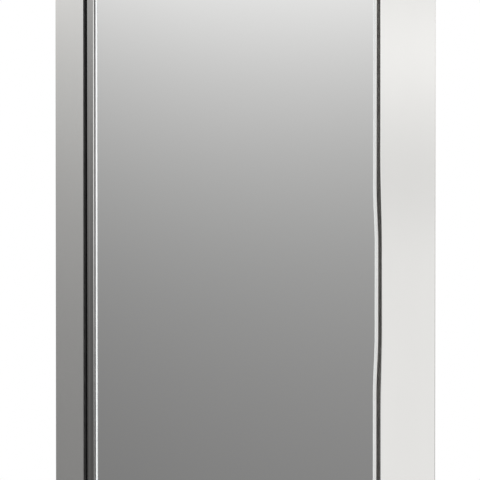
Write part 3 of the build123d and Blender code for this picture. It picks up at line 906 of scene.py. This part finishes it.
# %% Mirror pane
arris = 0.5 * MM
swell, swell_flat, swell_end = 1.8 * MM, 41 * MM, 98 * MM
square_on = 0.99
glass_low, glass_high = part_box("mirror_glass")
pane_plan = [(glass_low.x, glass_low.y), (glass_high.x - swell, glass_low.y)]
pane = strip("mirror_pane", pane_plan, glass_low.z, glass_high.z)
cut_rows(pane)
pull_rows(pane, lambda spot: spot.x > 0, (swell, 0, 0), swell_flat, swell_end)
thicken(pane, glass_high.y - glass_low.y)
soften(pane, arris)
silvered, ground, painted = range(3)
for finish in mirror_finishes:
    pane.data.materials.append(finish)
for face in pane.data.polygons:
    on_front, on_back = face.normal.y < -square_on, face.normal.y > square_on
    face.material_index = silvered if on_front else painted if on_back else ground
dress(pane, mirror_finishes[0], "mirror_glass")

# %% [markdown]
# ## Door skin and hinge barrel
#
# Behind the glass lies a steel skin. On its free edge it is hemmed, and on the hinge edge it is rolled
# into the barrel that the door turns on. The barrel could be a tube of its own, but one sheet is how it
# is made: the skin's hinge edge is spun round the joint's own axis, and stops just short of the skin so
# that a slit is left. The rolled part is duller than the hem's polished edge, and the back of the skin
# is satin, so the faces get three finishes.

# %% Measures of the skin
door_sheet, slit = 1.0 * MM, 0.7 * MM
hem_width, hem_thick = 10 * MM, 1.2 * MM
roll_step, skin_setback = 3 * MM, 0.5 * MM
hinge = Vector(frame["joints"][0]["pos_m"])
skin_low, skin_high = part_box("door_face_sheet")
barrel_radius = hinge.x - skin_low.x
skin_back, skin_right = hinge.y + barrel_radius, skin_high.x - swell
skin_half, hem_half = glass_high.z - skin_setback, glass_high.z - 2 * hem_width
roll_end = math.asin((barrel_radius - door_sheet - slit) / barrel_radius)
roll_angle = 1.5 * math.pi + roll_end
print(f"barrel radius {barrel_radius / MM:.2f} mm, rolled by {math.degrees(roll_angle):.0f} degrees")

# %% Door skin
skin_plan = [
    (skin_right, skin_back),
    (skin_right - hem_width, skin_back),
    (hinge.x + roll_step, skin_back),
    (hinge.x, skin_back),
]
skin = strip("door_skin", skin_plan, -skin_half, skin_half)
cut_rows(skin)
pull_rows(skin, lambda spot: spot.x > 0, (swell, 0, 0), swell_flat, swell_end)
for end in (-1, 1):
    pick(skin, "VERT", lambda corner: corner.co.x < hinge.x + NEAR and end * corner.co.z > skin_half - NEAR)
    bpy.ops.transform.translate(value=(0, 0, end * (skin_high.z - skin_half)))
    close()
pick(skin, "EDGE", lambda edge: upright(edge) and at(edge, skin_plan[-1]))
bpy.ops.mesh.spin(steps=64, angle=roll_angle, center=(hinge.x, hinge.y, 0), axis=(0, 0, -1))
close()
thicken(skin, door_sheet)
pick(skin, "FACE", lambda face: face.normal.y > square_on and middle(face).x > skin_right - hem_width
     and abs(middle(face).z) < hem_half)
bpy.ops.mesh.extrude_region_move(TRANSFORM_OT_translate={"value": (0, hem_thick, 0)})
close()
soften(skin, fine_break)

# %% Finishes of the skin
looks_right = 0.5
satin, rolled, bright = range(3)
for finish in (satin_steel, rolled_steel, bright_steel):
    skin.data.materials.append(finish)
for face in skin.data.polygons:
    on_barrel, on_edge = face.center.x < hinge.x + barrel_radius, face.normal.x > looks_right
    face.material_index = rolled if on_barrel else bright if on_edge else satin
dress(skin, rolled_steel, "door_face_sheet")

# %% [markdown]
# ## White trim on the hinge edge
#
# A small plastic channel caps the mirror's edge beside the barrel. From the front it is a white line. It
# is thin and folds round the glass, so it is made as the sheets are, from a strip with two folds.

# %% Edge trim
trim_sheet, trim_lip, trim_bend = 0.6 * MM, 2.0 * MM, 0.65 * MM
trim_low, trim_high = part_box("mirror_edge_channel")
trim_plan = [
    (trim_high.x, trim_high.y),
    (trim_low.x, trim_high.y),
    (trim_low.x, trim_low.y),
    (trim_low.x + trim_lip, trim_low.y),
]
trim = strip("mirror_edge_trim", trim_plan, trim_low.z, trim_high.z)
fold(trim, trim_plan[1:-1], trim_bend, segments=5)
thicken(trim, trim_sheet)
soften(trim, edge_break, segments=3)
dress(trim, white_trim, "mirror_edge_channel")

# %% [markdown]
# ## Groove strip
#
# A black rubber strip is stuck to the stile's return, and fills the view into the groove. Its black also
# paints the shade of the deep slot between the stile and the barrel. It starts as a block, and the two
# corners that show are rounded.

# %% Groove strip
groove_corner = 0.4 * MM
groove_low, groove_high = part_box("groove_seal")
# the strip is a rubber seal, and its black also stands in for the groove's shade
groove = block("groove_strip", groove_low, groove_high)
rounded(groove, lambda edge: upright(edge) and middle(edge).x > groove_high.x - NEAR,
        groove_corner, segments=4)
dress(groove, groove_shade_rubber, "groove_seal")

# %% [markdown]
# ## Door pan
#
# The pan is a shallow pressed tray on the back of the door. A press draws it in one stroke, and the
# shortest way to that shape is a block that gets round corners and a round back rim, loses its front
# face, and is then made a thin wall.

# %% Door pan
pan_corner, pan_rim = 6 * MM, 1.5 * MM
pan_low, pan_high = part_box("door_tray")
pan = block("door_pan", pan_low, pan_high)
rounded(pan, lambda edge: runs(edge, 1), pan_corner, segments=8)
rounded(pan, lambda edge: all(corner.co.y > pan_high.y - NEAR for corner in edge.verts),
        pan_rim, segments=5)
pick(pan, "FACE", lambda face: face.normal.y < -square_on)
bpy.ops.mesh.delete(type="FACE")
close()
thicken(pan, door_sheet)
punched(pan, rivet_hole, strike_rivets, pan_high.y)
dress(pan, satin_steel, "door_tray")

# %% [markdown]
# ## Back panel
#
# The back is one flat sheet with four holes for the wall screws and eight for the rivets, so it is a
# thin block with punched holes.

# %% Back panel
hole_radius = 3.25 * MM
hole_x, hole_z = 120 * MM, 290 * MM
wall_holes = [(x, z) for x in (-hole_x, hole_x) for z in (-hole_z, hole_z)]
back = block("back_sheet", *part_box("back_panel"))
punched(back, hole_radius, wall_holes, 0)
punched(back, rivet_hole, back_rivets, 0)
soften(back, fine_break)
dress(back, bright_steel, "back_panel")

# %% [markdown]
# ## Rivets
#
# These are blind rivets. A rivet's head is a low dome, with a small pit in the middle where its stem broke
# off, and its shank fills the hole with a hair to spare. Shank, dome and pit are one turned profile.

# %% Rivets
rivet_radius, rivet_rise = 1.5 * MM, 1.2 * MM
stem_radius, pit_depth = 0.9 * MM, 0.6 * MM


def rivets(name, spots, seat, tail, way):
    """Rivets with their heads on a seat and their shanks back to a tail, at spots across and up."""
    head = dome(rivet_head, rivet_rise, end=70)
    crown = head[-1][1]
    pit = [(stem_radius, crown), (stem_radius, crown - pit_depth)]
    shank = [(rivet_radius, -abs(seat - tail)), (rivet_radius, 0)]
    return group(name, turned("rivet", shank + head + pit), [((x, seat, z), way) for x, z in spots])


flange_face = -2 * case_sheet
heads = rivets("back_rivet_heads", back_rivets, flange_face, 0, point_forward)
dress(heads, zinc_plate, "back_rivets")
strike_face, strike_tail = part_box("upper_strike")[1].y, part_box("strike_rivets")[0].y
heads = rivets("strike_rivet_heads", strike_rivets, strike_face, strike_tail, point_back)
dress(heads, zinc_plate, "strike_rivets")

# %% [markdown]
# ## Hexagon screws
#
# The screws of the brackets and the catches have a hexagon head on a round flange, dished on top. Three
# turned shapes, one of them with six sides, are fused by booleans, so that no wall is left inside. Their
# heads are inside the cabinet, so the upper ones point down and the lower ones point up.

# %% One hexagon screw
thread_radius, flange_radius, flange_rise = 1.85 * MM, 4.0 * MM, 0.6 * MM
head_radius, head_rise, head_break = 3.4 * MM, 2.2 * MM, 0.35 * MM
dish_radius, dish_depth = 2.0 * MM, 0.25 * MM
flange_break = flange_rise / 2


def hexagon_screw(shank):
    """A screw that points up: its shank under the origin, then a flange and a dished hexagon head."""
    screw = turned("screw", [(thread_radius, -shank), (thread_radius, flange_rise)])
    flange = turned("flange", [
        (flange_radius, 0),
        (flange_radius, flange_rise - flange_break),
        (flange_radius - flange_break, flange_rise),
    ])
    head = turned("head", [
        (head_radius, flange_rise / 2),
        (head_radius, head_rise - head_break),
        (head_radius - head_break, head_rise),
        (dish_radius, head_rise),
        (dish_radius - dish_depth, head_rise - dish_depth),
    ], sides=6)
    for other in (flange, head):
        modify(screw, "BOOLEAN", operation="UNION", solver="EXACT", object=other)
        bpy.data.objects.remove(other)
    return screw


# %% All hexagon screws
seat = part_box("upper_pivot_bracket")[0].z
inset = Vector((flange_radius, flange_radius * math.cos(math.pi / 6)))
for node, name in (("bracket_screws", "bracket_hexagon_screws"), ("catch_screws", "catch_hexagon_screws")):
    low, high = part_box(node)
    spots = (low.xy + inset, high.xy - inset)
    places = [((*spot, seat), point_down) for spot in spots]
    places += [((*spot, -seat), point_up) for spot in spots]
    dress(group(name, hexagon_screw(cad_high.z - seat), places), zinc_plate, node)

# %% [markdown]
# ## Pivot pins and stop peg
#
# Each pivot pin is turned, with a wide head over its bracket and a broken edge at its tip. The stop peg
# is a short pin in the lower bracket, which ends the door's travel. They stand on upright axes, so they
# are turned in their place.

# %% Pins
pin_radius, pin_break, head_edge = 2.5 * MM, 0.4 * MM, 0.6 * MM
bracket_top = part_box("upper_pivot_bracket")[1].z
for level, way in (("upper", 1), ("lower", -1)):
    low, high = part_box(f"{level}_pivot_pin")
    tip, crown = sorted((abs(low.z), abs(high.z)))
    wide = (high.x - low.x) / 2
    profile = [
        (pin_radius - pin_break, tip),
        (pin_radius, tip + pin_break),
        (pin_radius, bracket_top),
        (wide, bracket_top),
        (wide, crown - head_edge),
        (wide - head_edge, crown),
    ]
    pin = turned(f"{level}_hinge_pin", [(radius, way * height) for radius, height in profile], hinge.xy)
    dress(pin, zinc_plate, f"{level}_pivot_pin")

# %% Stop peg
low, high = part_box("door_stop_pin")
peg_radius = (high.x - low.x) / 2
profile = [(peg_radius, low.z), (peg_radius, high.z - pin_break), (peg_radius - pin_break, high.z)]
peg = turned("stop_peg", profile, ((low + high) / 2).xy)
dress(peg, zinc_plate, "door_stop_pin")

# %% [markdown]
# ## Bumpers
#
# Four soft domes on the back of the door keep steel from striking steel. One is turned and copied.

# %% Bumpers
bumper_row = 150 * MM
low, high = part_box("door_bumpers")
radius = (high.x - low.x) / 2
bumper = turned("bumper", dome(radius, high.y - low.y, end=80))
rows = (low.z + radius, -bumper_row, bumper_row, high.z - radius)
bumpers = group("bumper_domes", bumper, [((low.x + radius, low.y, row), point_back) for row in rows])
dress(bumpers, soft_rubber, "door_bumpers")

# %% [markdown]
# ## Shelf standards
#
# A standard is a strip folded into a channel, with a row of punched slots for the clips. One cutter
# block is repeated by an array, and takes all the slots out at once. The other three standards are
# copies: one is moved back, and the two on the right are turned half round.

# %% One standard
standard_sheet, standard_bend = 0.8 * MM, 1.0 * MM
slot_pitch, slot_count, slot_half, slot_tall = 35 * MM, 17, 4 * MM, 3.2 * MM
low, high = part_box("left_front_standard")
front_y = (low.y + high.y) / 2
channel = [(low.x, low.y), (high.x, low.y), (high.x, high.y), (low.x, high.y)]
standard = strip("left_front_rail", channel, low.z, high.z)
fold(standard, channel[1:-1], standard_bend, segments=4)
thicken(standard, standard_sheet)
first_slot = -slot_pitch * (slot_count // 2)
punch = block("punch", (high.x - 2 * standard_sheet, front_y - slot_half, first_slot),
              (high.x + standard_sheet, front_y + slot_half, first_slot + slot_tall))
modify(punch, "ARRAY", count=slot_count, use_relative_offset=False, use_constant_offset=True,
       constant_offset_displace=(0, 0, slot_pitch))
cut_away(standard, punch)
soften(standard, fine_break)

# %% All standards
low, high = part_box("left_rear_standard")
rear_y = (low.y + high.y) / 2
standards = [
    standard,
    copy_of(standard, "left_rear_rail", (0, rear_y - front_y, 0)),
    copy_of(standard, "right_front_rail", (0, 2 * front_y, 0), half_round),
    copy_of(standard, "right_rear_rail", (0, front_y + rear_y, 0), half_round),
]
for rail in standards:
    dress(rail, zinc_plate, rail.name.replace("rail", "standard"))

# %% [markdown]
# ## Glass shelves
#
# A shelf is a plate of float glass with round corners and a polished edge. It is modelled once, at the
# lowest level, and copied to the other two.

# %% Glass shelves
shelf_corner, shelf_edge = 4 * MM, 0.8 * MM
low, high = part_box("lower_shelf")
shelf = block("lower_glass_shelf", low, high)
rounded(shelf, upright, shelf_corner, segments=8)
soften(shelf, shelf_edge, segments=3)
shelves = [shelf]
for level in ("middle", "upper"):
    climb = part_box(f"{level}_shelf")[0].z - low.z
    shelves.append(copy_of(shelf, f"{level}_glass_shelf", (0, 0, climb)))
for shelf in shelves:
    dress(shelf, float_glass, shelf.name.replace("glass_", ""))

# %% [markdown]
# ## Strikes
#
# The strikes are small steel plates with round corners, which the magnets pull on. The lower one is a
# copy of the upper one, as far below the middle as that is above it.

# %% Strikes
strike_corner = 2 * MM
low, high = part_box("upper_strike")
strike = block("upper_strike_plate", low, high)
rounded(strike, lambda edge: runs(edge, 1), strike_corner, segments=5)
punched(strike, rivet_hole, upper_rivets, low.y)
soften(strike, fine_break)
twin = copy_of(strike, "lower_strike_plate", (0, 0, -low.z - high.z))
dress(strike, zinc_plate, "upper_strike")
dress(twin, zinc_plate, "lower_strike")

# %% [markdown]
# ## Solids that keep their shape
#
# The other solids have the right form already, so they aren't modelled again. A copy is merged into a
# closed mesh, its sharp edges are broken by a few tenths of a millimetre at most, and it takes the
# finish of its slot.

# %% Carried-over solids
finishes = {
    "polished_steel": bright_steel,
    "zinc_steel": zinc_plate,
    "nylon": nylon,
    "catch_plastic": catch_plastic,
    "ferrite": ferrite,
    "adhesive": mastic,
    "foam_core": foam_board,
}
moulded_breaks = {"catch_plastic": 0.4 * MM, "nylon": 0.2 * MM}
least_break = 0.12 * MM
merge_distance, flat_angle = 0.001 * MM, math.radians(0.5)


def smooth_copy(node):
    """A merged copy of a solid, with its sharp edges broken."""
    piece = bpy.data.objects.new(node + "_finished", nodes[node].data.copy())
    bpy.context.scene.collection.objects.link(piece)
    piece.data.materials.clear()
    pick(piece, "VERT", lambda corner: True)
    bpy.ops.mesh.remove_doubles(threshold=merge_distance)
    bpy.ops.mesh.dissolve_limited(angle_limit=flat_angle)
    close()
    soften(piece, moulded_breaks.get(slot_of[node], least_break))
    dress(piece, finishes[slot_of[node]], node)


for node in sorted(nodes):
    if not nodes[node].hide_render:
        smooth_copy(node)

# %% [markdown]
# ## Size and finish
#
# Finishing must not change the size of the object. The box of the solids is printed at the start, and
# the box of the finished pieces is printed here.

low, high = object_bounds()
print("visual box in mm:", [round(side / MM, 1) for side in high - low])
